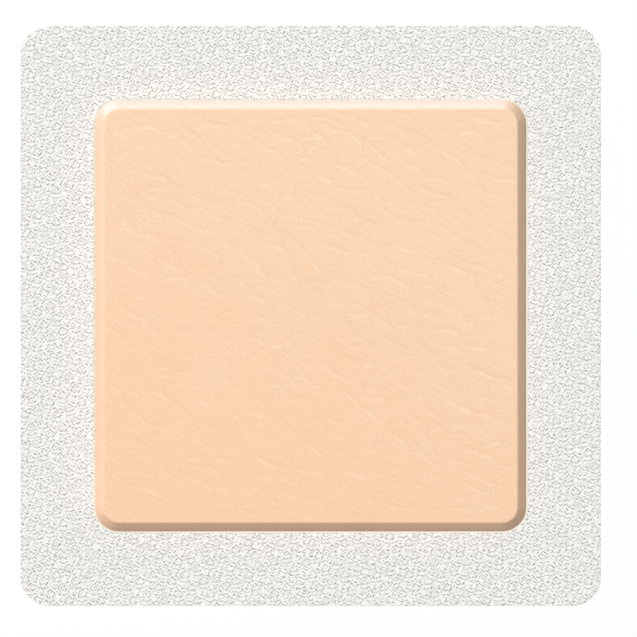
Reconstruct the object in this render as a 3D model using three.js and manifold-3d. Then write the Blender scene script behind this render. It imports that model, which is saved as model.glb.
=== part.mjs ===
// A bordered silicone foam dressing, lying with its wound side up.
// A square nonwoven backing sheet carries a slab of absorbent foam in its middle. A silicone face is
// moulded over the foam and sealed to the sheet by a narrow flange.
// Millimetres. +Z points away from the surface the dressing lies on, +X and +Y along its edges, and the
// origin is the middle of the underside of the sheet.

import * as THREE from "three";
import { mergeVertices } from "three/addons/utils/BufferGeometryUtils.js";
import Module from "manifold-3d";

// Driving dimensions of the backing sheet.
const SHEET_SIDE = 150;
const SHEET_CORNER_RADIUS = 7.7;
const SHEET_THICKNESS = 0.5;

// Driving dimensions of the silicone face. PAD_SIDE is measured from wall to wall, PAD_HEIGHT from the
// sheet to the face, and BEVEL_WIDTH as it is seen from above.
const PAD_SIDE = 111.3;
const PAD_CORNER_RADIUS = 6.3;
const PAD_HEIGHT = 4.5;
const BEVEL_WIDTH = 2.3;
const BEVEL_DEPTH = 3.3;
const SKIN_THICKNESS = 0.5;
const FLANGE_WIDTH = 0.5;
const FLANGE_THICKNESS = 0.3;

// The gap between the foam's edge and the skin's wall.
const FOAM_CLEARANCE = 0.3;

// A quarter circle at a corner has twice this many straight steps.
const CURVE_SEGMENTS = 6;

// The foam fills the pad from the sheet to the underside of the skin.
const FOAM_HEIGHT = PAD_HEIGHT - SKIN_THICKNESS;

const nonwoven = new THREE.MeshStandardMaterial({ color: 0xf1efeb, roughness: 0.95, metalness: 0 });
const silicone = new THREE.MeshStandardMaterial({ color: 0xfad5b4, roughness: 0.55, metalness: 0 });
const foam = new THREE.MeshStandardMaterial({ color: 0xf4efe2, roughness: 1, metalness: 0 });

const wasm = await Module();
wasm.setup();

// A square outline about the origin with round corners.
function roundedSquare(side, radius) {
  const edge = side / 2;
  const centre = edge - radius;
  const quarter = Math.PI / 2;
  const outline = new THREE.Shape();
  outline.absarc(centre, centre, radius, 0, quarter);
  outline.absarc(-centre, centre, radius, quarter, 2 * quarter);
  outline.absarc(-centre, -centre, radius, 2 * quarter, 3 * quarter);
  outline.absarc(centre, -centre, radius, 3 * quarter, 4 * quarter);
  outline.closePath();
  return outline;
}

// A plate with upright sides and its underside at no height.
function plate(side, radius, thickness) {
  const options = { depth: thickness, bevelEnabled: false, curveSegments: CURVE_SEGMENTS };
  return new THREE.ExtrudeGeometry(roundedSquare(side, radius), options);
}

// A closed geometry as a solid that can be joined and cut.
function solidOf(geometry) {
  const bare = geometry.clone();
  bare.deleteAttribute("normal");
  bare.deleteAttribute("uv");
  const merged = mergeVertices(bare);
  return new wasm.Manifold(
    new wasm.Mesh({
      numProp: 3,
      vertProperties: merged.attributes.position.array,
      triVerts: new Uint32Array(merged.index.array),
    }),
  );
}

// A solid as a geometry.
function geometryOf(solid) {
  const mesh = solid.getMesh();
  const geometry = new THREE.BufferGeometry();
  geometry.setAttribute("position", new THREE.BufferAttribute(mesh.vertProperties, 3));
  geometry.setIndex(new THREE.BufferAttribute(mesh.triVerts, 1));
  geometry.computeVertexNormals();
  return geometry;
}

// The block that the walls and the bevel of the pad enclose when they are set back square to themselves by
// inset, cut off flat at the height given. Heights here are above the sheet. The extrusion is bevelled at
// both ends, and reaches a bevel's depth or more below the sheet.
function padBlock(inset, top) {
  const setBack = inset + BEVEL_WIDTH;
  const outline = roundedSquare(PAD_SIDE - 2 * setBack, PAD_CORNER_RADIUS - setBack);
  const options = {
    depth: PAD_HEIGHT,
    bevelEnabled: true,
    bevelThickness: BEVEL_DEPTH,
    bevelSize: BEVEL_WIDTH,
    bevelSegments: 1,
    curveSegments: CURVE_SEGMENTS,
  };
  const bevelLength = Math.hypot(BEVEL_WIDTH, BEVEL_DEPTH);
  const drop = (inset * (bevelLength - BEVEL_DEPTH)) / BEVEL_WIDTH;
  const block = new THREE.ExtrudeGeometry(outline, options).translate(0, 0, -BEVEL_DEPTH - drop);
  return solidOf(block).trimByPlane([0, 0, -1], -top);
}

// What is left of a solid above the sheet.
function aboveSheet(solid) {
  return solid.trimByPlane([0, 0, 1], 0);
}

function backingSheet() {
  return plate(SHEET_SIDE, SHEET_CORNER_RADIUS, SHEET_THICKNESS);
}

function foamCore() {
  return geometryOf(aboveSheet(padBlock(SKIN_THICKNESS + FOAM_CLEARANCE, FOAM_HEIGHT)));
}

function siliconeFace() {
  const flange = plate(PAD_SIDE + 2 * FLANGE_WIDTH, PAD_CORNER_RADIUS + FLANGE_WIDTH, FLANGE_THICKNESS);
  const outside = aboveSheet(padBlock(0, PAD_HEIGHT)).add(solidOf(flange));
  return geometryOf(outside.subtract(padBlock(SKIN_THICKNESS, FOAM_HEIGHT)));
}

// A named piece whose underside lies at the height given.
function piece(name, geometry, material, height) {
  const mesh = new THREE.Mesh(geometry, material);
  mesh.name = name;
  mesh.position.z = height;
  return mesh;
}

const dressing = new THREE.Group();
dressing.add(piece("backing_sheet", backingSheet(), nonwoven, 0));
dressing.add(piece("foam_core", foamCore(), foam, SHEET_THICKNESS));
dressing.add(piece("silicone_face", siliconeFace(), silicone, SHEET_THICKNESS));

export default dressing;
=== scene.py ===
"""A bordered silicone foam dressing that lies wound side up on a pale floor.

The backing sheet is a crimped nonwoven with a small lacy repeat. The foam core lies on its middle, under a
silicone face with bevelled edges and fine leather-like creases. Every length is in metres, apart from those
of the strokes and of the camera. +X is the right of the photo and +Y its top.
"""

import logging
import math
from collections.abc import Iterable, Sequence
from dataclasses import dataclass
from enum import Enum

import bmesh
import bpy
import numpy as np
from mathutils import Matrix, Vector, noise


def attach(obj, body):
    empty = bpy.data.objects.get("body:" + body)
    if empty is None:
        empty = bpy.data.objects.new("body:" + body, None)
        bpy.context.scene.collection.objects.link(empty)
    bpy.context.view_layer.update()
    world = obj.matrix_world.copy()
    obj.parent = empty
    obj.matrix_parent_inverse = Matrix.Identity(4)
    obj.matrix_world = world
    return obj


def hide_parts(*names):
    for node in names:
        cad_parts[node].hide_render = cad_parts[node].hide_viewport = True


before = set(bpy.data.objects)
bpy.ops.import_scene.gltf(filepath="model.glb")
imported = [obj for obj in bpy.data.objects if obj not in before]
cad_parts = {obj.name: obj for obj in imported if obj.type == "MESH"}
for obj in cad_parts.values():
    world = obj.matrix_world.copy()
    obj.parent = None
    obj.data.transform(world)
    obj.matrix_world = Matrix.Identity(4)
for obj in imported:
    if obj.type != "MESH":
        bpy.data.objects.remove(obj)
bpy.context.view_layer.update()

LOG = logging.getLogger("dressing")
MM = 0.001

# Points nearer to each other than this count as one.
MERGE = 0.001 * MM

# How strong each finer layer of noise is, as a share of the one before.
NOISE_ROUGHNESS = 0.55

# The name under which the face keeps the height of its creases.
CREASE_LAYER = "crease"

# The colours of the lamps.
WHITE = (1.0, 1.0, 1.0)
COOL = (0.68, 0.70, 1.0)

Number = "float | Value"
Pair = tuple[float, float]
Triple = tuple[float, float, float]
Colour = Triple
Socket = bpy.types.NodeSocket


class Slot(Enum):
    """The record's material slots."""

    NONWOVEN = "nonwoven"
    FOAM = "foam"
    SILICONE = "silicone"


class Node(Enum):
    """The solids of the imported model."""

    SHEET = "backing_sheet"
    FOAM = "foam_core"
    FACE = "silicone_face"


def smoothstep(low: float, high: float, value: np.ndarray) -> np.ndarray:
    """The height of a smooth rise from 0 at low to 1 at high, at each value."""
    share = np.clip((value - low) / (high - low), 0, 1)
    return share * share * (3 - 2 * share)


def wander(places: np.ndarray, wavelength: float, seed: float) -> np.ndarray:
    """Smooth noise from about -1 to 1 at points of a plane, with hills a wavelength apart."""
    return np.array([noise.noise(Vector((x, y, seed))) for x, y in places[:, :2] / wavelength])


def turned(vector: Sequence[float], angle: float) -> Pair:
    """A flat vector turned about the Z axis by an angle in radians."""
    cos, sin = math.cos(angle), math.sin(angle)
    return vector[0] * cos - vector[1] * sin, vector[0] * sin + vector[1] * cos


class Value:
    """A number that varies over a surface, as the socket that carries it."""

    def __init__(self, graph: "Graph", socket: Socket) -> None:
        """Wraps an output socket of a graph."""
        self.graph = graph
        self.socket = socket

    def math(self, operation: str, *others: Number) -> "Value":
        """One Math node with this value first."""
        return self.graph.math(operation, self, *others)

    def __add__(self, other: Number) -> "Value":
        """This value plus another."""
        return self.math("ADD", other)

    def __sub__(self, other: Number) -> "Value":
        """This value less another."""
        return self.math("SUBTRACT", other)

    def __rsub__(self, other: Number) -> "Value":
        """Another value less this one."""
        return self.graph.math("SUBTRACT", other, self)

    def __mul__(self, other: Number) -> "Value":
        """This value times another."""
        return self.math("MULTIPLY", other)

    def __truediv__(self, other: Number) -> "Value":
        """This value divided by another."""
        return self.math("DIVIDE", other)

    __radd__ = __add__
    __rmul__ = __mul__


class Graph:
    """The node tree of one material, with its Principled shader ready."""

    def __init__(self, name: str) -> None:
        """Starts a material with that name."""
        self.material = bpy.data.materials.new(name)
        self.material.use_nodes = True
        self.tree = self.material.node_tree
        self.tree.nodes.clear()
        self.shader = self.node("ShaderNodeBsdfPrincipled")
        self.node("ShaderNodeOutputMaterial", sockets={"Surface": self.shader.outputs["BSDF"]})

    def plug(self, socket: Socket, given: object) -> None:
        """Links a socket or a value to an input, or sets the input to a constant.

        Args:
            socket: The input.
            given: A Value, an output socket, or a constant.
        """
        source = given.socket if isinstance(given, Value) else given
        if isinstance(source, Socket):
            self.tree.links.new(source, socket)
        else:
            socket.default_value = source

    def node(
        self,
        kind: str,
        settings: dict[str, object] | None = None,
        sockets: dict[str | int, object] | None = None,
    ) -> bpy.types.Node:
        """Adds a node.

        Args:
            kind: The node's type.
            settings: Its settings, which are set first.
            sockets: What each input gets, by name or number.

        Returns:
            The node.
        """
        made = self.tree.nodes.new(kind)
        for key, setting in (settings or {}).items():
            setattr(made, key, setting)
        for key, given in (sockets or {}).items():
            self.plug(made.inputs[key], given)
        return made

    def math(self, operation: str, *values: Number) -> Value:
        """The result of one Math node, with the values as its inputs in order."""
        made = self.node("ShaderNodeMath", {"operation": operation}, dict(enumerate(values)))
        return Value(self, made.outputs[0])

    def vector_math(self, operation: str, *vectors: object, output: str = "Vector") -> Socket:
        """One output of a Vector Math node, with the vectors as its inputs in order."""
        made = self.node("ShaderNodeVectorMath", {"operation": operation}, dict(enumerate(vectors)))
        return made.outputs[output]

    def dot(self, vector: Socket, constant: Sequence[float]) -> Value:
        """The dot product of a vector with a constant one."""
        return Value(self, self.vector_math("DOT_PRODUCT", vector, constant, output="Value"))

    def place(self) -> Socket:
        """The point of the surface, in metres."""
        return self.node("ShaderNodeTexCoord").outputs["Object"]

    def noise(self, size: float, detail: float = 2.0, place: Socket | None = None) -> Value:
        """Noise from 0 to 1.

        Args:
            size: How far apart its hills are, in metres.
            detail: How many finer layers it has.
            place: Where it is read, or None for the point of the surface.

        Returns:
            The noise, with a mean near one half.
        """
        sockets = {"Vector": place or self.place(), "Scale": 1 / size}
        sockets |= {"Detail": detail, "Roughness": NOISE_ROUGHNESS}
        made = self.node("ShaderNodeTexNoise", {"noise_dimensions": "3D"}, sockets)
        return Value(self, made.outputs["Fac"])

    def rise(self, value: Value, low: float, high: float) -> Value:
        """A smooth rise of a value from 0 at low to 1 at high."""
        sockets = {"Value": value, "From Min": low, "From Max": high}
        made = self.node("ShaderNodeMapRange", {"interpolation_type": "SMOOTHSTEP"}, sockets)
        return Value(self, made.outputs["Result"])

    def blend(self, share: Number, first: object, second: object) -> Socket:
        """A mix of two colours.

        Args:
            share: How much of the second there is, from 0 to 1.
            first: The first colour, as three numbers or a socket.
            second: The second one.

        Returns:
            The mixed colour.
        """
        made = self.node("ShaderNodeMix", {"data_type": "RGBA"}, {"Factor": share})
        for name, given in (("A", first), ("B", second)):
            socket = next(s for s in made.inputs if s.name == name and s.type == "RGBA")
            self.plug(socket, (*given, 1) if isinstance(given, tuple) else given)
        return next(s for s in made.outputs if s.type == "RGBA")

    def bump(self, height: Value, depth: float) -> Socket:
        """A normal that follows a height from 0 to about 1, where 1 stands for the depth in metres."""
        made = self.node("ShaderNodeBump", {}, {"Height": height, "Distance": depth, "Strength": 1.0})
        return made.outputs["Normal"]

    def finish(self, **sockets: object) -> bpy.types.Material:
        """Sets the shader's sockets, with an underscore for each space in a name, and gives the material."""
        for key, given in sockets.items():
            self.plug(self.shader.inputs[key.replace("_", " ")], given)
        return self.material


@dataclass(frozen=True)
class Stroke:
    """One short groove of the crimped repeat: a straight line with round ends, in millimetres.

    Attributes:
        start: Where it starts, from the middle of the repeat's small diamond.
        end: Where it ends.
        width: How far from its line it fades.
        depth: How deep it is, and how much painted shade it gets, from 0 to 1.
    """

    start: Pair
    end: Pair
    width: float
    depth: float


@dataclass(frozen=True)
class Crimp:
    """The lacy repeat that is pressed into the nonwoven: a square lattice of small diamonds with a cup below.

    Attributes:
        pitch: The side of the lattice.
        turn: How far the lattice is turned from the edges of the sheet, in radians.
        start: The middle of one of the small diamonds.
        deepest: The depth at which grooves that cross stop adding up.
        strokes: The grooves of one repeat.
    """

    pitch: float = 3.70 * MM
    turn: float = math.atan(0.5)
    start: Pair = (0.5 * MM, -0.7 * MM)
    deepest: float = 1.2
    strokes: tuple[Stroke, ...] = (
        Stroke((0.0, 1.08), (0.0, 1.08), 0.098, 1.0),
        Stroke((-0.1, 1.0), (-0.95, 0.2), 0.057, 0.8),
        Stroke((0.1, 1.0), (0.65, 0.45), 0.066, 0.9),
        Stroke((-1.12, -0.15), (-0.66, -0.9), 0.07, 1.0),
        Stroke((-0.5, -0.92), (0.4, -0.62), 0.082, 0.6),
        Stroke((0.65, -0.88), (1.12, -0.28), 0.086, 1.1),
        Stroke((-0.55, -0.15), (-0.15, 0.28), 0.057, 0.6),
        Stroke((-0.83, -1.76), (-0.83, -1.76), 0.115, 1.3),
        Stroke((-0.6, -1.88), (0.25, -1.98), 0.074, 0.6),
        Stroke((0.25, -1.98), (0.95, -1.7), 0.074, 0.6),
        Stroke((1.0, -1.62), (1.4, -1.62), 0.074, 1.0),
        Stroke((-2.4, -0.2), (-1.75, -0.36), 0.09, 1.1),
        Stroke((-2.15, 0.28), (-1.5, 0.85), 0.07, 0.5),
        Stroke((-1.75, -1.35), (-1.25, -0.85), 0.06, 0.7),
        Stroke((1.3, 0.15), (0.85, 0.62), 0.06, 0.7),
    )

    def cell(self, vector: Sequence[float]) -> Triple:
        """A vector in millimetres as steps along the lattice."""
        return (*(part * MM / self.pitch for part in turned(vector, -self.turn)), 0.0)

    def segments(self) -> list[tuple[Stroke, np.ndarray, np.ndarray, float]]:
        """Lays the strokes out on the lattice.

        Returns:
            Each stroke with its middle, its direction and its length, in steps of the lattice.
        """
        found = []
        for stroke in self.strokes:
            start, end = (np.array(self.cell(point)) for point in (stroke.start, stroke.end))
            length = float(np.linalg.norm(end - start))
            along = (end - start) / length if length else np.array((1.0, 0.0, 0.0))
            found.append((stroke, (start + end) / 2, along, length))
        return found

    def grooves(self, places: np.ndarray, widen: float) -> np.ndarray:
        """How deep the grooves are at points of the sheet.

        Args:
            places: Points, one a row, in metres.
            widen: What is added to each stroke's width, in millimetres, for a mesh that is too coarse for it.

        Returns:
            The depth, from 0 to about 1.
        """
        x, y = turned((places[:, :2] - self.start).T, -self.turn)
        cells = np.column_stack((x, y)) / self.pitch
        total = np.zeros(len(places))
        for stroke, middle, along, length in self.segments():
            local = (cells - middle[:2] + 0.5) % 1 - 0.5
            reach = np.maximum(np.abs(local @ along[:2]) - length / 2, 0)
            aside = local @ np.array((-along[1], along[0]))
            width = (stroke.width + widen) * MM / self.pitch
            depth = stroke.depth * stroke.width / (stroke.width + widen)
            total += depth * np.exp(-(reach**2 + aside**2) / width**2)
        return np.minimum(total, self.deepest)

    def shade(self, graph: Graph, place: Socket) -> Value:
        """The same grooves as nodes, at their real width.

        Args:
            graph: The material's graph.
            place: The point of the surface, in metres.

        Returns:
            The depth, from 0 to about 1.
        """
        scale = 1 / self.pitch
        moved = graph.vector_math("SUBTRACT", place, (*self.start, 0))
        sockets = {"Vector": moved, "Rotation": (0, 0, -self.turn), "Scale": (scale, scale, scale)}
        cells = graph.node("ShaderNodeMapping", {"vector_type": "POINT"}, sockets).outputs["Vector"]
        total: Number = 0.0
        for stroke, middle, along, length in self.segments():
            aside = np.array((-along[1], along[0], 0.0))
            width = stroke.width * MM / self.pitch
            centred = graph.vector_math("SUBTRACT", cells, middle)
            local = graph.vector_math("WRAP", centred, (0.5, 0.5, 0.5), (-0.5, -0.5, -0.5))
            reach = graph.dot(local, along / width).math("ABSOLUTE") - length / 2 / width
            beyond = reach.math("MAXIMUM", 0.0)
            across = graph.dot(local, aside / width)
            squared = beyond * beyond + across * across
            total = graph.math("POWER", math.exp(-1), squared) * stroke.depth + total
        return total


@dataclass(frozen=True)
class Profile:
    """The section across a crease: a groove with a steep and a gentle side, and a crest beside the steep one.

    Attributes:
        sharp: The width of the steep side, which faces the top of the photo.
        soft: The width of the gentle side.
        flare: How the sides run out: the higher, the rounder the bottom of the groove.
        lip: The height of the crest, as a share of the groove's depth.
        lip_place: How far the crest is from the crease's line, in widths of the steep side.
    """

    sharp: float = 0.34 * MM
    soft: float = 0.85 * MM
    flare: float = 1.3
    lip: float = 0.5
    lip_place: float = 1.6

    def groove(self, distance: np.ndarray, steep: np.ndarray) -> np.ndarray:
        """The depth at distances from the crease's line. Steep is 1 on its steep side, 0 on the other."""
        width = self.soft + (self.sharp - self.soft) * steep
        return np.exp(-((distance / width) ** self.flare))

    def crest(self, distance: np.ndarray, steep: np.ndarray) -> np.ndarray:
        """The height of the crest at distances from the crease's line."""
        return self.lip * steep * np.exp(-(((distance - self.lip_place * self.sharp) / self.sharp) ** 2))


@dataclass(frozen=True)
class Scales:
    """Creases that are the edges of long irregular scales.

    Attributes:
        size: How long and how wide a scale is.
        depth: The depth of their edges, from 0 to 1.
        cover: The share of the edges that shows.
        seed: The number that the random draws start from.
        link: The depth of the edges across the scales, as a share of those along them.
        warp: How far the scales are pushed out of shape, at a coarse and a fine scale.
        warp_size: How far apart those pushes are.
        repeat: After how many scales their random places come again.
        margin: How near a scale's middle may come to the side of its cell, as a share of the cell.
        steep_slant: The slants of an edge, from -1 to 1, between which its steep side comes in.
        along_slant: The slants between which it turns from an edge across to one along the scales.
        patch: The size of the patches that fade, in widths of a scale.
        patch_stretch: How much the noise of the patches is squeezed, along and across the scales.
        patch_reach: How far the noise of the patches goes up and down.
        fade: How far below and above its threshold the noise lets the edges come in.
    """

    size: Pair
    depth: float
    cover: float
    seed: int
    link: float = 0.4
    warp: Pair = (3.2 * MM, 0.7 * MM)
    warp_size: Pair = (13 * MM, 3.0 * MM)
    repeat: int = 64
    margin: float = 0.08
    steep_slant: Pair = (-0.2, 0.35)
    along_slant: Pair = (0.3, 0.9)
    patch: float = 1.2
    patch_stretch: Pair = (0.5, 1.0)
    patch_reach: float = 0.8
    fade: Pair = (0.15, 0.25)

    def relief(self, places: np.ndarray, turn: float, profile: Profile) -> np.ndarray:
        """The height of the creased face.

        Args:
            places: Points, one a row, in metres.
            turn: The direction of the scales, in radians.
            profile: The section across a crease.

        Returns:
            The height, from -1 to 1.
        """
        # Each seed, and each use of it, reads the noise at a height of its own.
        seed = self.seed * 1.37
        fade_seed = seed + 9
        pushed = places[:, :2].copy()
        for step, (push, size) in enumerate(zip(self.warp, self.warp_size)):
            for column in (0, 1):
                pushed[:, column] += push * wander(places, size, seed + 3 * step + column)
        cells = np.column_stack(turned(pushed.T, -turn)) / self.size
        table = np.random.default_rng(self.seed).random((self.repeat, self.repeat, 2))
        steps = np.array([(i, j) for i in range(-2, 3) for j in range(-2, 3)])
        keys = np.floor(cells).astype(int)[:, None, :] + steps
        drawn = table[keys[..., 0] % self.repeat, keys[..., 1] % self.repeat]
        sites = keys + self.margin + (1 - 2 * self.margin) * drawn
        nearest = ((sites - cells[:, None, :]) ** 2).sum(-1).argmin(1)
        own = np.take_along_axis(sites, nearest[:, None, None], 1)
        axis = sites - own
        slope = axis / self.size
        steepness = np.linalg.norm(slope, axis=-1)
        # A scale has no edge with itself, so there the slope is kept from 0 and the gap is put a metre away.
        itself = np.arange(len(cells)), nearest
        steepness[itself] = 1.0
        gap = (((own + sites) / 2 - cells[:, None, :]) * axis).sum(-1) / steepness
        gap[itself] = 1.0
        across = slope[..., 1] / steepness
        steep = smoothstep(*self.steep_slant, across)
        strength = self.link + (1 - self.link) * smoothstep(*self.along_slant, np.abs(across))
        groove = (strength * profile.groove(gap, steep)).max(1)
        crest = (strength * profile.crest(gap, steep)).max(1)
        stretched = np.column_stack(turned(places[:, :2].T, -turn)) * self.patch_stretch
        patches = wander(stretched, self.patch * self.size[1], fade_seed)
        threshold = self.patch_reach * (0.5 - self.cover)
        below, above = self.fade
        shown = smoothstep(threshold - below, threshold + above, patches)
        return self.depth * shown * (crest - groove)


@dataclass(frozen=True)
class Crease:
    """One long crease of the face, arched towards the upper right.

    Attributes:
        start: Its upper left end, in metres.
        end: Its lower right end.
        bulge: How far it arches, as a share of its length.
        depth: How deep it is, from 0 to 1.
        phase: Where its small waves start.
        peak: Where the arch is highest, as a share of its length.
        wave: How far its small waves swing, and how far it runs for each radian of them.
        whole: The shares of its length between which it has its full depth.
    """

    start: Pair
    end: Pair
    bulge: float
    depth: float
    phase: float
    peak: float = 0.55
    wave: Pair = (0.22 * MM, 1.3 * MM)
    whole: Pair = (0.3, 0.65)

    def relief(self, places: np.ndarray, profile: Profile) -> np.ndarray:
        """The height at points of the face.

        Args:
            places: Points, one a row, in metres.
            profile: The section across the crease.

        Returns:
            The height, from -1 to 1.
        """
        start, end = np.array(self.start), np.array(self.end)
        length = float(np.linalg.norm(end - start))
        along = (end - start) / length
        local = places[:, :2] - start
        share = local @ along / length
        rise = self.bulge * length * (1 - (2 * (share - self.peak)) ** 2)
        swing, run = self.wave
        wave = swing * np.sin(share * length / run + self.phase)
        aside = local @ np.array((-along[1], along[0])) - rise - wave
        taper = smoothstep(0.0, self.whole[0], share) * (1 - smoothstep(self.whole[1], 1.0, share))
        steep = (aside < 0).astype(float)
        distance = np.abs(aside)
        return self.depth * taper * (profile.crest(distance, steep) - profile.groove(distance, steep))


@dataclass(frozen=True)
class Creases:
    """Fine creases, like those of soft leather, that run down to the right over the face.

    Attributes:
        half: Half the side of the square that they cover.
        depth: The depth of the deepest crease.
        turn: Their mean direction, in radians.
        layers: The scales, the largest first.
        spacing: How far apart the chains of long creases are.
        length: The shortest and longest of the long creases.
        stray: How far one may turn from the mean direction.
        bulge: The least and the most that one may arch, as a share of its length.
        strength: The depth of the faintest and of the deepest of them.
        overlap: How far one starts before the end of the one before, as a share of its length.
        follow: How much of one's turn aside the next one follows.
        jitter: How far aside the next one may start.
        shown: The share of the long creases that is there.
        fainter: How much fainter all creases are at the lower left.
        lower_left: The slant of the line across which they get fainter, and where that starts and ends.
        profile: The section across a crease.
        seed: The number that the random draws start from.
    """

    half: float = 53 * MM
    depth: float = 0.056 * MM
    turn: float = math.radians(-29)
    layers: tuple[Scales, ...] = (
        Scales((10.5 * MM, 4.8 * MM), 0.75, 0.9, 31),
        Scales((5.5 * MM, 3.0 * MM), 0.6, 0.8, 42),
    )
    spacing: float = 6.5 * MM
    length: Pair = (9 * MM, 24 * MM)
    stray: float = math.radians(14)
    bulge: Pair = (-0.02, 0.09)
    strength: Pair = (0.35, 1.0)
    overlap: float = 0.22
    follow: float = 0.8
    jitter: float = 0.6 * MM
    shown: float = 0.85
    fainter: float = 0.25
    lower_left: Triple = (0.6, -75 * MM, 45 * MM)
    profile: Profile = Profile()
    seed: int = 20

    def long_ones(self) -> list[Crease]:
        """Draws the long creases, chain by chain.

        Returns:
            The creases.
        """
        draws = np.random.default_rng(self.seed)
        # The chains are laid level and then turned, so they reach out past the corners of the square. Each
        # starts somewhere within a lane of its own.
        reach = self.half * 1.5
        found = []
        for chain in range(int(2 * reach / self.spacing)):
            along = -reach + draws.uniform(0, self.length[1])
            across = -reach + (chain + draws.uniform(0.1, 0.9)) * self.spacing
            while along < reach:
                length, angle = draws.uniform(*self.length), draws.uniform(-self.stray, self.stray)
                end = (along + length * math.cos(angle), across + length * math.sin(angle))
                ends = turned((along, across), self.turn), turned(end, self.turn)
                bulge, depth = draws.uniform(*self.bulge), draws.uniform(*self.strength)
                phase = draws.uniform(0, 6)
                if draws.random() < self.shown and max(map(abs, ends[0])) < self.half + length:
                    found.append(Crease(*ends, bulge, depth, phase))
                along = end[0] - self.overlap * length
                aside = draws.uniform(-self.jitter, self.jitter)
                across = self.follow * end[1] + (1 - self.follow) * across + aside
        return found

    def relief(self, places: np.ndarray) -> np.ndarray:
        """The height of the creased face, with grooves below 0 and crests above it.

        Args:
            places: Points, one a row, in metres.

        Returns:
            The height, as a share of the deepest crease's depth.
        """
        parts = [crease.relief(places, self.profile) for crease in self.long_ones()]
        parts += [layer.relief(places, self.turn, self.profile) for layer in self.layers]
        stack = np.array(parts)
        height = stack.min(0) + stack.max(0)
        slant, low, high = self.lower_left
        lower_left = 1 - smoothstep(low, high, places[:, 0] * slant + places[:, 1])
        return height * (1 - self.fainter * lower_left)


@dataclass(frozen=True)
class Outline:
    """A square outline about the origin with round corners.

    Attributes:
        half: Half its side.
        radius: The radius of its corners.
    """

    half: float
    radius: float

    def inside(self, places: np.ndarray) -> np.ndarray:
        """How far inside the outline points are, negative outside it.

        Args:
            places: Points, one a row.

        Returns:
            One distance for each point.
        """
        beyond = np.abs(places[:, :2]) - (self.half - self.radius)
        outside = np.linalg.norm(np.maximum(beyond, 0), axis=1)
        return self.radius - outside - np.minimum(beyond.max(1), 0)

    def grown(self, offset: float) -> "Outline":
        """The outline set off outwards by a distance."""
        return Outline(self.half + offset, self.radius + offset)

    def normal(self, point: Vector) -> Vector:
        """The level direction outwards at a point on or near the outline."""
        core = self.half - self.radius
        nearest = Vector((max(-core, min(core, point.x)), max(-core, min(core, point.y))))
        return (point.xy - nearest).normalized().to_3d()

    def at(self, share: float, arc: float) -> Vector:
        """A point of the outline.

        Args:
            share: How far round it is, from 0 to 1, from the middle of the right side.
            arc: The share of the way round that one corner takes.

        Returns:
            The point.
        """
        quarter, rest = divmod(share * 4, 1)
        core = self.half - self.radius
        straight = (1 - 4 * arc) / 2
        if rest < straight:
            point = (self.half, core * rest / straight)
        elif rest > 1 - straight:
            point = (core * (1 - rest) / straight, self.half)
        else:
            angle = (rest - straight) / (1 - 2 * straight) * math.pi / 2
            point = (core + self.radius * math.cos(angle), core + self.radius * math.sin(angle))
        return Vector((*turned(point, quarter * math.pi / 2), 0))

    def round_off(self, x: float, y: float, reach: float) -> Vector:
        """Moves a point of the sharp-cornered square so that the corners become round.

        Args:
            x: The point's place across, from -half to half.
            y: Its place up.
            reach: How far in from the outline the corners are rounded.

        Returns:
            The moved point.
        """
        ring = max(abs(x), abs(y))
        share = max(0.0, (ring - self.half + reach) / reach)
        radius = self.radius * share * share * (3 - 2 * share)
        short = min(abs(x), abs(y))
        if radius <= 0 or short <= ring - radius:
            return Vector((x, y, 0))
        angle = (1 - (ring - short) / radius) * math.pi / 4
        long = ring - radius + radius * math.cos(angle)
        side = ring - radius + radius * math.sin(angle)
        along, up = (long, side) if abs(x) >= abs(y) else (side, long)
        return Vector((math.copysign(along, x), math.copysign(up, y), 0))


@dataclass(frozen=True)
class Bend:
    """A corner of a section through a piece.

    Attributes:
        offset: How far outside the face's outline it is.
        height: How high it is.
        radius: The radius that it is rounded with, or 0 for a sharp corner.
        steps: How many straight steps a rounded corner gets.
    """

    offset: float
    height: float
    radius: float = 0.0
    steps: int = 1


def rounded_section(bends: Sequence[Bend]) -> list[Pair]:
    """A section with its corners rounded.

    Args:
        bends: Its corners in order. The first is left out if the next one's rounding starts there.

    Returns:
        Pairs of offset and height.
    """
    points = [(bends[0].offset, bends[0].height)]
    for before, bend, after in zip(bends, bends[1:], bends[2:]):
        corner = Vector((bend.offset, bend.height))
        if not bend.radius:
            points.append(tuple(corner))
            continue
        back = (Vector((before.offset, before.height)) - corner).normalized()
        ahead = (Vector((after.offset, after.height)) - corner).normalized()
        half_angle = back.angle(ahead) / 2
        tangent = bend.radius / math.tan(half_angle)
        centre = corner + (back + ahead).normalized() * bend.radius / math.sin(half_angle)
        first = corner + back * tangent - centre
        turn = first.angle_signed(corner + ahead * tangent - centre)
        for step in range(bend.steps + 1):
            arm = turned(first, -turn * step / bend.steps)
            points.append((centre.x + arm[0], centre.y + arm[1]))
    points.append((bends[-1].offset, bends[-1].height))
    return [points[0]] + [b for a, b in zip(points, points[1:]) if math.dist(a, b) > MERGE]


def mesh_piece(name: str, model: bmesh.types.BMesh, sharp_angle: float) -> bpy.types.Object:
    """Makes an object of a finished model, smooth apart from its sharp edges.

    Args:
        name: The piece's name.
        model: The model, which is freed.
        sharp_angle: The angle in radians from which an edge stays sharp.

    Returns:
        The object, at the origin.
    """
    bmesh.ops.recalc_face_normals(model, faces=model.faces)
    mesh = bpy.data.meshes.new(name)
    model.to_mesh(mesh)
    model.free()
    mesh.shade_smooth()
    mesh.set_sharp_from_angle(angle=sharp_angle)
    piece = bpy.data.objects.new(name, mesh)
    bpy.context.scene.collection.objects.link(piece)
    return piece


def border_of(model: bmesh.types.BMesh) -> list[bmesh.types.BMEdge]:
    """The open edges of a model."""
    return [edge for edge in model.edges if edge.is_boundary]


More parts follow.
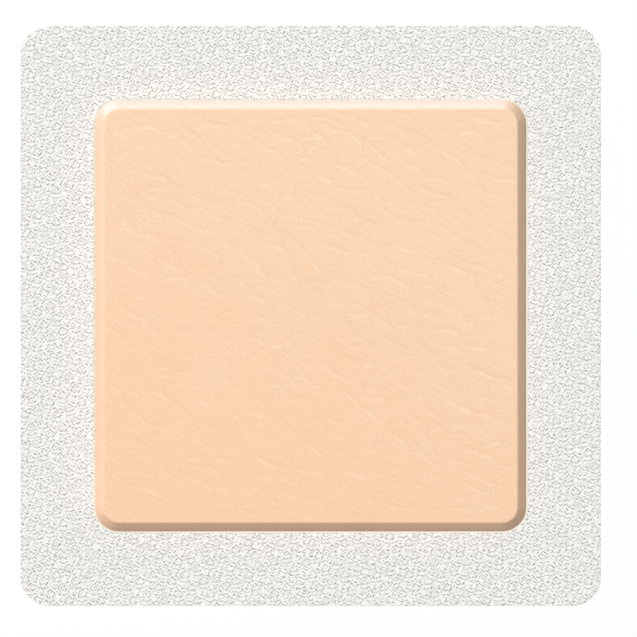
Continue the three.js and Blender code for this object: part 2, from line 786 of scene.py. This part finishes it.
def extrude_ring(
    model: bmesh.types.BMesh, edges: Iterable[bmesh.types.BMEdge], outline: Outline, out: float, up: float
) -> list[bmesh.types.BMEdge]:
    """Extrudes a ring of edges square to an outline.

    Args:
        model: The model.
        edges: The ring.
        outline: The outline that gives the direction outwards.
        out: How far the new ring goes outwards.
        up: How far it goes up.

    Returns:
        The edges of the new ring.
    """
    made = bmesh.ops.extrude_edge_only(model, edges=list(edges))["geom"]
    ring = {item for item in made if isinstance(item, bmesh.types.BMVert)}
    for vert in ring:
        vert.co += outline.normal(vert.co) * out + Vector((0, 0, up))
    return [e for e in made if isinstance(e, bmesh.types.BMEdge) and ring.issuperset(e.verts)]


def moulded_slab(
    face: Outline, cells: tuple[int, int], reach: float, section: Sequence[Pair]
) -> bmesh.types.BMesh:
    """A closed slab: a fine grid for the face, extruded through a section all the way round and closed below.

    Args:
        face: The outline of the flat face, where the section starts.
        cells: How many faces the grid has across and up.
        reach: How far in from its outline the corners of the face are rounded.
        section: Pairs of offset from the face's outline and height. The first is the face's own edge.

    Returns:
        The model.
    """
    model = bmesh.new()
    bmesh.ops.create_grid(model, x_segments=cells[0], y_segments=cells[1], size=1.0)
    top = section[0][1]
    edge = face.grown(section[0][0])
    for vert in model.verts:
        vert.co = edge.round_off(vert.co.x * edge.half, vert.co.y * edge.half, reach) + Vector((0, 0, top))
    ring = border_of(model)
    for (out, up), (next_out, next_up) in zip(section, section[1:]):
        ring = extrude_ring(model, ring, face, next_out - out, next_up - up)
    bmesh.ops.edgeloop_fill(model, edges=ring)
    return model


@dataclass(frozen=True)
class NonwovenFinish:
    """The off-white crimped nonwoven of the backing sheet.

    Attributes:
        fibre: The colour of the fibres.
        groove: The dark colour: painted shade at the bottom of a groove and in the slanting gaps, also mixed
            in for the plain cloth's tone and its fluff.
        fluff: How far apart the clumps of fibres are.
        break_up: How far apart the gaps are that break the grooves up.
        patch: How far apart the patches are whose fibres slant the same way.
        hatch: How far apart the slanting gaps between fibres are, end to end and side by side.
        slants: The two directions of these gaps, in radians.
        wobble: How far they swing aside, in steps from side to side.
        lane_shift: How far along the gaps beside them start, in radians of the wave that makes them.
        dash: The heights of that wave between which a gap comes in.
        way_range: The heights of the patches' noise between which the first slant takes over.
        kept: The share of a groove's depth that is left where it is broken up, and what is added elsewhere.
        kept_range: The heights of the gaps' noise between which that is added.
        plain: How dark the plain cloth is, from 0 to 1.
        shares: How much painted shade the grooves get, how much painted shade and painted highlight the
            slanting gaps and the fibres between them get, and how much the fluff darkens and lightens the
            cloth.
        groove_depth: How deep the finest grooves are.
    """

    fibre: Colour = (0.955, 0.945, 0.92)
    groove: Colour = (0.12, 0.11, 0.10)
    fluff: float = 0.2 * MM
    break_up: float = 0.5 * MM
    patch: float = 1.0 * MM
    hatch: Pair = (1.7 * MM, 0.6 * MM)
    slants: Pair = (math.radians(46), math.radians(-44))
    wobble: float = 1.1
    lane_shift: float = 7.3
    dash: Pair = (-0.4, 0.5)
    way_range: Pair = (0.44, 0.56)
    kept: Pair = (0.65, 0.55)
    kept_range: Pair = (0.3, 0.7)
    plain: float = 0.09
    shares: Triple = (1.05, 0.58, 1.25)
    groove_depth: float = 0.04 * MM

    def slanting(self, graph: Graph, place: Socket, angle: float) -> Value:
        """Painted highlights on fibres and painted shade in the gaps between them, as lines that slant one
        way, side by side in small patches.

        Args:
            graph: The material's graph.
            place: The point of the surface.
            angle: Their direction in radians.

        Returns:
            How dark they are, from -1 to 1: painted shade above 0 and painted highlight below it.
        """
        length, spacing = self.hatch
        along, aside = turned((1, 0), angle), turned((0, 1), angle)
        # The shift by the angle, in metres, gives each direction a wobble of its own.
        shifted = graph.vector_math("ADD", place, (angle, 0, 0))
        wobble = graph.noise(2 * spacing, 1, shifted) * self.wobble
        across = graph.dot(place, (*aside, 0)) / spacing + wobble
        line = (across * math.tau).math("SINE")
        run = graph.dot(shifted, (*along, 0)) / length
        lane = across.math("ROUND") * self.lane_shift
        dash = graph.rise((run * math.tau + lane).math("SINE"), *self.dash)
        return line * dash

    def material(self, crimp: Crimp) -> bpy.types.Material:
        """The finish as a material.

        Args:
            crimp: The repeat pressed into the sheet.

        Returns:
            The material.
        """
        graph = Graph("nonwoven")
        place = graph.place()
        grooves = crimp.shade(graph, place)
        left, added = self.kept
        broken = grooves * (left + added * graph.rise(graph.noise(self.break_up, 2), *self.kept_range))
        way = graph.rise(graph.noise(self.patch, 1), *self.way_range)
        first = self.slanting(graph, place, self.slants[0]) * way
        second = self.slanting(graph, place, self.slants[1]) * (1 - way)
        fluff = graph.noise(self.fluff, 1) - 0.5
        # The grooves and the slanting gaps are painted shade, and the lines of fibre between the gaps are
        # painted highlight; the plain tone and the fluff are the cloth's own.
        groove_shade_share, gap_shade_and_highlight_share, fluff_share = self.shares
        dark = self.plain + broken * groove_shade_share + (first + second) * gap_shade_and_highlight_share + fluff * fluff_share
        dark = dark.math("MAXIMUM", 0.0).math("MINIMUM", 1.0)
        colour = graph.blend(dark, self.fibre, self.groove)
        normal = graph.bump(1 - dark, self.groove_depth)
        return graph.finish(Base_Color=colour, Normal=normal, Roughness=0.9, Sheen_Weight=0.1)


@dataclass(frozen=True)
class SiliconeFinish:
    """The satin skin-coloured silicone of the face.

    Attributes:
        skin: Its colour.
        warm: Its colour towards the bottom and the lower left, a little pinker.
        warm_way: The direction in which it gets warmer. Its length is the rise over a metre.
        warm_range: The warmth at which that colour starts and is whole.
        rim: Its colour where it is thin, over the white sheet, at the upper left and the lower right.
        rim_way: The direction from the first of these to the second. Its length is the rise over a metre.
        rim_range: The heights of that rise between which the second colour comes in.
        speck: The colour of the cloth's grooves, with their painted shade, where they show through the rim,
            at the upper left.
        speck_size: How far apart these are.
        speck_range: The heights of their noise between which they come in.
        groove: The darker colour: painted shade in a crease, and the random tone between its grains.
        groove_shade_share: How much of that painted shade the creases get.
        painted_shade_range: The heights of the face's relief between which they get it.
        crest: The lighter colour: a painted highlight on the crest beside a crease's steep side, which faces
            up the face, and the random tone of its grains.
        painted_highlight_share: How much of that painted highlight the crests get.
        painted_highlight_range: The heights of the relief between which they get it.
        mottle: How far apart its faint blotches are.
        mottle_share: How much they change its warmth.
        grain: How far apart its fine grains are.
        grain_share: How much of the crest's and the groove's colour they get.
        light_grain: The heights of the grains' noise between which they get the crest's.
        dark_grain: The heights between which they get the groove's.
        grain_depth: How deep they are.
        rim_height: The heights between which the rim's colour ends.
        deep: The colour of the painted shade that darkens the bevel all round.
        slope_shade: The share of that painted shade there.
        slope_height: The heights between which that ends, at the top of the bevel.
    """

    skin: Colour = (0.888, 0.618, 0.407)
    warm: Colour = (0.888, 0.578, 0.367)
    warm_way: Triple = (-5.0, -9.0, 0.0)
    warm_range: Pair = (-0.45, 0.65)
    rim: tuple[Colour, Colour] = ((0.70, 0.70, 0.61), (0.88, 0.83, 0.71))
    rim_way: Triple = (9.0, -9.0, 0.0)
    rim_range: Pair = (-0.35, 0.35)
    speck: Colour = (0.34, 0.33, 0.29)
    speck_size: float = 0.4 * MM
    speck_range: Pair = (0.5, 0.68)
    groove: Colour = (0.75, 0.49, 0.30)
    groove_shade_share: float = 0.32
    painted_shade_range: Pair = (-0.15, -1.0)
    crest: Colour = (0.97, 0.79, 0.61)
    painted_highlight_share: float = 0.85
    painted_highlight_range: Pair = (0.0, 0.5)
    mottle: float = 9 * MM
    mottle_share: float = 0.9
    grain: float = 0.55 * MM
    grain_share: float = 0.5
    light_grain: Pair = (0.5, 0.9)
    dark_grain: Pair = (0.5, 0.1)
    grain_depth: float = 0.008 * MM
    rim_height: Pair = (0.85 * MM, 1.2 * MM)
    deep: Colour = (0.5, 0.16, 0.12)
    slope_shade: float = 0.09
    slope_height: Pair = (4.6 * MM, 4.93 * MM)

    def material(self) -> bpy.types.Material:
        """The finish as a material.

        Returns:
            The material.
        """
        graph = Graph("silicone")
        place = graph.place()
        blotches = (graph.noise(self.mottle, 2) - 0.5) * self.mottle_share
        warmth = graph.rise(graph.dot(place, self.warm_way) + blotches, *self.warm_range)
        colour = graph.blend(warmth, self.skin, self.warm)
        made = graph.node("ShaderNodeAttribute", {"attribute_name": CREASE_LAYER})
        relief = Value(graph, made.outputs["Fac"])
        fine = graph.noise(self.grain, 1)
        # Painted highlight on the crests beside the creases and painted shade in the creases; the grains add
        # random tone.
        crests = graph.rise(relief, *self.painted_highlight_range) * self.painted_highlight_share
        grooves = graph.rise(relief, *self.painted_shade_range) * self.groove_shade_share
        light = graph.rise(fine, *self.light_grain) * self.grain_share + crests
        dark = graph.rise(fine, *self.dark_grain) * self.grain_share + grooves
        colour = graph.blend(light.math("MINIMUM", 1.0), colour, self.crest)
        colour = graph.blend(dark.math("MINIMUM", 1.0), colour, self.groove)
        height = graph.dot(place, (0, 0, 1))
        # Painted shade: the bevel is darker all round, up to its top edge.
        bevel_shade_mask = 1 - graph.rise(height, *self.slope_height)
        colour = graph.blend(bevel_shade_mask * self.slope_shade, colour, self.deep)
        thin = 1 - graph.rise(height, *self.rim_height)
        low_right = graph.rise(graph.dot(place, self.rim_way), *self.rim_range)
        # The specks carry the cloth's painted groove shade onto the rim at the upper left.
        specks = graph.rise(graph.noise(self.speck_size, 1), *self.speck_range) * (1 - low_right)
        rim = graph.blend(specks, graph.blend(low_right, *self.rim), self.speck)
        colour = graph.blend(thin, colour, rim)
        normal = graph.bump(fine, self.grain_depth)
        return graph.finish(
            Base_Color=colour, Normal=normal, Roughness=0.5, IOR=1.43, Specular_IOR_Level=0.6
        )


@dataclass(frozen=True)
class FoamFinish:
    """The cream open-cell foam inside.

    Attributes:
        wall: The colour of the cell walls.
        pore: The darker colour inside a pore: painted shade in the hollow.
        pore_size: How far apart the pores are.
        pore_depth: How deep they are.
        pore_edge: The distances from a pore's middle between which its wall comes in, in sizes of a pore.
    """

    wall: Colour = (0.90, 0.86, 0.76)
    pore: Colour = (0.55, 0.50, 0.41)
    pore_size: float = 0.5 * MM
    pore_depth: float = 0.15 * MM
    pore_edge: Pair = (0.2, 0.55)

    def material(self) -> bpy.types.Material:
        """The finish as a material.

        Returns:
            The material.
        """
        graph = Graph("foam")
        sockets = {"Vector": graph.place(), "Scale": 1 / self.pore_size}
        made = graph.node("ShaderNodeTexVoronoi", {"feature": "F1"}, sockets)
        distance = Value(graph, made.outputs["Distance"])
        # Painted shade: each pore is darker towards its middle.
        wall = graph.rise(distance, *self.pore_edge)
        colour = graph.blend(wall, self.pore, self.wall)
        return graph.finish(Base_Color=colour, Normal=graph.bump(wall, self.pore_depth), Roughness=0.95)


@dataclass
class BackingSheet:
    """The nonwoven sheet, cut square with round corners, with its crimped border round the pad.

    Attributes:
        outline: Its cut edge.
        middle: The outline, hidden under the pad, inside which the sheet is plain.
        thickness: How thick it is.
        cells: How many faces its border has, round it and across it.
        corner_share: The share of the way round that one corner takes.
        relief: How deep the crimped grooves are in the mesh.
        widen: What is added to the width of the strokes in the mesh, in millimetres.
        loft: How high the fibres stand between the grooves.
        tuft: How far apart these tufts are.
        pad_margin: How far outside the middle outline the relief starts and is whole.
        cut_margin: The same inside the cut edge.
        edge_radius: The radius of the cut edge, above and below.
        crimp: The repeat that is pressed in.
        finish: Its finish.
    """

    outline: Outline = Outline(75 * MM, 7.7 * MM)
    middle: Outline = Outline(55.2 * MM, 5.9 * MM)
    thickness: float = 0.5 * MM
    cells: tuple[int, int] = (1424, 50)
    corner_share: float = 30 / 1424
    relief: float = 0.09 * MM
    widen: float = 0.22
    loft: float = 0.02 * MM
    tuft: float = 0.9 * MM
    pad_margin: Pair = (0.85 * MM, 1.15 * MM)
    cut_margin: Pair = (0.15 * MM, 0.8 * MM)
    edge_radius: float = 0.1 * MM
    crimp: Crimp = Crimp()
    finish: NonwovenFinish = NonwovenFinish()

    def build(self) -> bpy.types.Object:
        """Builds the sheet: a grid wrapped round the pad, with its rim and underside.

        Returns:
            The piece.
        """
        model = bmesh.new()
        bmesh.ops.create_grid(model, x_segments=self.cells[0], y_segments=self.cells[1], size=0.5)
        top = self.outline.grown(-self.edge_radius)
        for vert in model.verts:
            share = (vert.co.x + 0.5) % 1
            inner, outer = (ring.at(share, self.corner_share) for ring in (self.middle, top))
            vert.co = inner.lerp(outer, vert.co.y + 0.5) + Vector((0, 0, self.thickness))
        bmesh.ops.remove_doubles(model, verts=model.verts, dist=MERGE)
        self.press(model)
        rings = border_of(model)
        limit = (self.middle.half + self.outline.half) / 2
        rim = [e for e in rings if max(abs(c) for c in e.verts[0].co.xy) > limit]
        hole = [e for e in rings if e not in set(rim)]
        bmesh.ops.edgeloop_fill(model, edges=hole)
        flat = self.edge_radius * (1 - math.sqrt(0.5))
        steps = (
            (self.edge_radius - flat, -flat),
            (flat, flat - self.edge_radius),
            (0, 2 * self.edge_radius - self.thickness),
            (-flat, flat - self.edge_radius),
            (flat - self.edge_radius, -flat),
        )
        for out, up in steps:
            rim = extrude_ring(model, rim, self.outline, out, up)
        bmesh.ops.edgeloop_fill(model, edges=rim)
        return mesh_piece(Node.SHEET.value + "_cloth", model, sharp_angle=math.radians(50))

    def press(self, model: bmesh.types.BMesh) -> None:
        """Presses the crimped grooves into the top, and leaves it flat at the pad and at the cut edge.

        Args:
            model: The top of the sheet.
        """
        verts = list(model.verts)
        places = np.array([vert.co for vert in verts])
        grooves = self.crimp.grooves(places, self.widen)
        tufts = wander(places, self.tuft, seed=3.0)
        clear_of_pad = smoothstep(*self.pad_margin, -self.middle.inside(places))
        clear_of_cut = smoothstep(*self.cut_margin, self.outline.inside(places))
        height = (self.loft * tufts - self.relief * grooves) * clear_of_pad * clear_of_cut
        for vert, lift in zip(verts, height):
            vert.co.z += float(lift)

    def dress(self, piece: bpy.types.Object) -> None:
        """Gives the sheet its finish and ties it to the frame.

        Args:
            piece: The sheet.
        """
        piece.data.materials.append(self.finish.material(self.crimp))
        side = 2 * self.outline.half
        corners = (4 - math.pi) * self.outline.radius**2
        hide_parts(Node.SHEET.value)
        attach(piece, "root")
        side * side - corners


@dataclass(frozen=True)
class PadForm:
    """The outer form of the pad, which the skin and the foam share.

    Attributes:
        half: Half its side, from wall to wall.
        corner_radius: The radius of its corners.
        base: The height of the top of the sheet.
        height: The height of the face above the sheet.
        bevel_width: The width of the bevel, seen from above.
        bevel_depth: Its depth.
    """

    half: float = 55.65 * MM
    corner_radius: float = 6.3 * MM
    base: float = 0.5 * MM
    height: float = 4.5 * MM
    bevel_width: float = 2.3 * MM
    bevel_depth: float = 3.3 * MM

    @property
    def top(self) -> float:
        """The height of the face."""
        return self.base + self.height

    @property
    def slope(self) -> float:
        """The angle of the bevel with the level, in radians."""
        return math.atan2(self.bevel_depth, self.bevel_width)

    def shoulder(self, inset: float) -> float:
        """The height at which the bevel starts where the whole form is set back square to itself."""
        drop = inset * (math.hypot(self.bevel_width, self.bevel_depth) - self.bevel_depth) / self.bevel_width
        return self.top - self.bevel_depth - drop

    def bevel_run(self, inset: float, ceiling: float) -> float:
        """How far in the bevel of the form set back so runs, from its wall to a ceiling's height."""
        return (ceiling - self.shoulder(inset)) / math.tan(self.slope)


@dataclass
class SiliconeFace:
    """The silicone skin moulded over the foam, with its bevel, its wall and the flange sealed to the sheet.

    Attributes:
        form: The outer form of the pad.
        skin: The thickness of the skin.
        flange_width: How far the flange stands out from the wall.
        flange_thickness: How thick it is.
        edge_radius: The radius of the edges at the top and the foot of the bevel.
        lip_radius: The radius of the flange's edges.
        cells: How many faces the grid of the face has, across and up.
        corner_reach: How far in from its outline the corners of the face are rounded.
        crease_fade: How far inside its outline the creases start and are whole.
        creases: The creases of the face.
        finish: Its finish.
    """

    form: PadForm = PadForm()
    skin: float = 0.5 * MM
    flange_width: float = 0.5 * MM
    flange_thickness: float = 0.3 * MM
    edge_radius: float = 0.5 * MM
    lip_radius: float = 0.08 * MM
    cells: tuple[int, int] = (250, 320)
    corner_reach: float = 12 * MM
    crease_fade: Pair = (0.15 * MM, 0.9 * MM)
    creases: Creases = Creases()
    finish: SiliconeFinish = SiliconeFinish()

    def section(self) -> list[Pair]:
        """The section from the edge of the flat face to the edge of the hollow's ceiling.

        Returns:
            Pairs of offset from the face's outline and height.
        """
        form = self.form
        wall = form.bevel_width
        flange = wall + self.flange_width
        flange_top = form.base + self.flange_thickness
        outside = [
            Bend(-self.edge_radius * math.tan(form.slope / 2), form.top),
            Bend(0, form.top, self.edge_radius, steps=3),
            Bend(wall, form.shoulder(0), self.edge_radius, steps=2),
            Bend(wall, flange_top, self.lip_radius),
            Bend(flange, flange_top, self.lip_radius),
            Bend(flange, form.base),
        ]
        ceiling = form.top - self.skin
        inner = wall - self.skin
        inside = [
            (inner, form.base),
            (inner, form.shoulder(self.skin)),
            (inner - form.bevel_run(self.skin, ceiling), ceiling),
        ]
        return rounded_section(outside) + inside

    def build(self) -> bpy.types.Object:
        """Builds the face with its creases and closes it round its hollow.

        Returns:
            The piece.
        """
        face = Outline(self.form.half, self.form.corner_radius).grown(-self.form.bevel_width)
        model = moulded_slab(face, self.cells, self.corner_reach, self.section())
        self.crease(model, face)
        return mesh_piece(Node.FACE.value + "_skin", model, sharp_angle=math.radians(40))

    def crease(self, model: bmesh.types.BMesh, face: Outline) -> None:
        """Presses the creases into the face and keeps their depth for the finish.

        Args:
            model: The whole skin.
            face: The outline of its flat face.
        """
        layer = model.verts.layers.float.new(CREASE_LAYER)
        top = self.form.top - MERGE
        verts = [vert for vert in model.verts if vert.co.z > top]
        places = np.array([vert.co for vert in verts])
        margin = smoothstep(*self.crease_fade, face.inside(places))
        relief = self.creases.relief(places) * margin
        for vert, lift in zip(verts, relief):
            vert.co.z += float(lift) * self.creases.depth
            vert[layer] = float(lift)

    def dress(self, piece: bpy.types.Object) -> None:
        """Gives the face its finish and ties it to the frame.

        Args:
            piece: The face.
        """
        piece.data.materials.append(self.finish.material())
        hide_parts(Node.FACE.value)
        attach(piece, "root")


@dataclass
class FoamCore:
    """The slab of foam under the skin.

    Attributes:
        form: The outer form of the pad.
        height: How thick the slab is.
        set_back: How far it is inside the pad's walls and bevel.
        cells: How many faces the grid of its top has, across and up.
        corner_reach: How far in from its outline the corners of its top are rounded.
        finish: Its finish.
    """

    form: PadForm = PadForm()
    height: float = 4.0 * MM
    set_back: float = 0.8 * MM
    cells: tuple[int, int] = (48, 48)
    corner_reach: float = 10 * MM
    finish: FoamFinish = FoamFinish()

    def build(self) -> bpy.types.Object:
        """Builds the slab.

        Returns:
            The piece.
        """
        top = self.form.base + self.height
        bevel = self.form.bevel_run(self.set_back, top)
        face = Outline(self.form.half, self.form.corner_radius).grown(-self.set_back - bevel)
        section = [(0, top), (bevel, self.form.shoulder(self.set_back)), (bevel, self.form.base)]
        model = moulded_slab(face, self.cells, self.corner_reach, section)
        return mesh_piece(Node.FOAM.value + "_slab", model, sharp_angle=math.radians(30))

    def dress(self, piece: bpy.types.Object) -> None:
        """Gives the foam its finish and ties it to the frame.

        Args:
            piece: The slab.
        """
        piece.data.materials.append(self.finish.material())
        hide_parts(Node.FOAM.value)
        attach(piece, "root")


@dataclass(frozen=True)
class SoftBox:
    """A soft lamp.

    Attributes:
        name: Its name.
        colour: Its colour.
        direction: The direction from the dressing to the lamp. The lamps that only show in the gloss are a
            little below the floor, which doesn't stop them, so that the slopes show them and no level face.
        distance: How far away it is.
        size: Its width and height.
        level: How bright it makes a white card that faces it.
        shadows: Whether it casts shadows.
        lights_up: Whether it lights surfaces, or only shows in their gloss.
    """

    name: str
    colour: Colour
    direction: Triple
    distance: float
    size: Pair
    level: float
    shadows: bool
    lights_up: bool

    def build(self) -> None:
        """Hangs the lamp, facing the dressing."""
        light = bpy.data.lights.new(self.name, "AREA")
        light.shape = "RECTANGLE"
        light.size, light.size_y = self.size
        light.color = self.colour
        # A flat lamp of this energy gives a white card that faces it the brightness asked for.
        light.energy = self.level * math.pi**2 * self.distance**2
        light.use_shadow = self.shadows
        lamp = bpy.data.objects.new(self.name, light)
        lamp.location = Vector(self.direction).normalized() * self.distance
        lamp.rotation_euler = Vector(self.direction).to_track_quat("Z", "Y").to_euler()
        lamp.visible_camera = False
        lamp.visible_diffuse = self.lights_up
        bpy.context.scene.collection.objects.link(lamp)


@dataclass
class Studio:
    """The floor, the soft light and the camera straight above.

    Attributes:
        floor_side: The side of the floor.
        floor_colour: Its colour.
        sky: The brightness of the light from all round.
        lamps: The soft lamps.
        view_width: The width of what the photo shows.
        view_centre: The point of the dressing's frame in the middle of the photo.
        lens: The camera's focal length in millimetres.
        sensor: The width of its sensor in millimetres.
    """

    floor_side: float = 9.0
    floor_colour: Colour = (0.93, 0.93, 0.93)
    sky: float = 0.25
    lamps: tuple[SoftBox, ...] = (
        SoftBox("key", WHITE, (-0.42, 0.42, 1.0), 10.0, (4.2, 4.2), 1.014, False, True),
        SoftBox("far_sheen", COOL, (-0.2, 1.0, -0.2), 4.0, (4.0, 1.2), 2.1, False, False),
        SoftBox("corner_sheen", COOL, (-1.0, 1.0, -0.28), 4.0, (1.6, 1.2), 0.95, False, False),
        SoftBox("left_sheen", WHITE, (-1.0, 0.0, -0.1), 4.0, (3.0, 1.2), 0.38, False, False),
    )
    view_width: float = 164.54 * MM
    view_centre: Triple = (2.03 * MM, -0.70 * MM, 0.5 * MM)
    lens: float = 400.0
    sensor: float = 36.0

    def build(self) -> None:
        """Sets up the floor, the light and the camera."""
        self.lay_floor()
        self.light_up()
        self.place_camera()

    def lay_floor(self) -> None:
        """Lays the plain pale floor under the dressing."""
        model = bmesh.new()
        bmesh.ops.create_grid(model, x_segments=4, y_segments=4, size=self.floor_side / 2)
        floor = mesh_piece("floor", model, sharp_angle=math.radians(30))
        graph = Graph("floor")
        floor.data.materials.append(graph.finish(Base_Color=(*self.floor_colour, 1), Roughness=0.9))

    def light_up(self) -> None:
        """Sets the light from all round, the lamps and a plain reading of their brightness."""
        scene = bpy.context.scene
        world = bpy.data.worlds.new("studio")
        world.use_nodes = True
        world.node_tree.nodes["Background"].inputs["Color"].default_value = (1, 1, 1, 1)
        world.node_tree.nodes["Background"].inputs["Strength"].default_value = self.sky
        scene.world = world
        for lamp in self.lamps:
            lamp.build()
        scene.view_settings.view_transform = "Standard"

    def place_camera(self) -> None:
        """Hangs the camera straight above, with the photo's frame."""
        data = bpy.data.cameras.new("camera")
        data.lens, data.sensor_width = self.lens, self.sensor
        camera = bpy.data.objects.new("camera", data)
        distance = self.view_width * self.lens / self.sensor
        camera.location = Vector(self.view_centre) + Vector((0, 0, distance))
        bpy.context.scene.collection.objects.link(camera)
        bpy.context.scene.camera = camera


def main() -> None:
    """Builds the studio, then builds and dresses every piece."""
    logging.basicConfig(level=logging.INFO, format="%(name)s: %(message)s")
    Studio().build()
    for maker in (BackingSheet(), FoamCore(), SiliconeFace()):
        piece = maker.build()
        maker.dress(piece)
        piece.data.calc_loop_triangles()
        LOG.info("%s has %d triangles", piece.name, len(piece.data.loop_triangles))


if __name__ == "__main__":
    main()
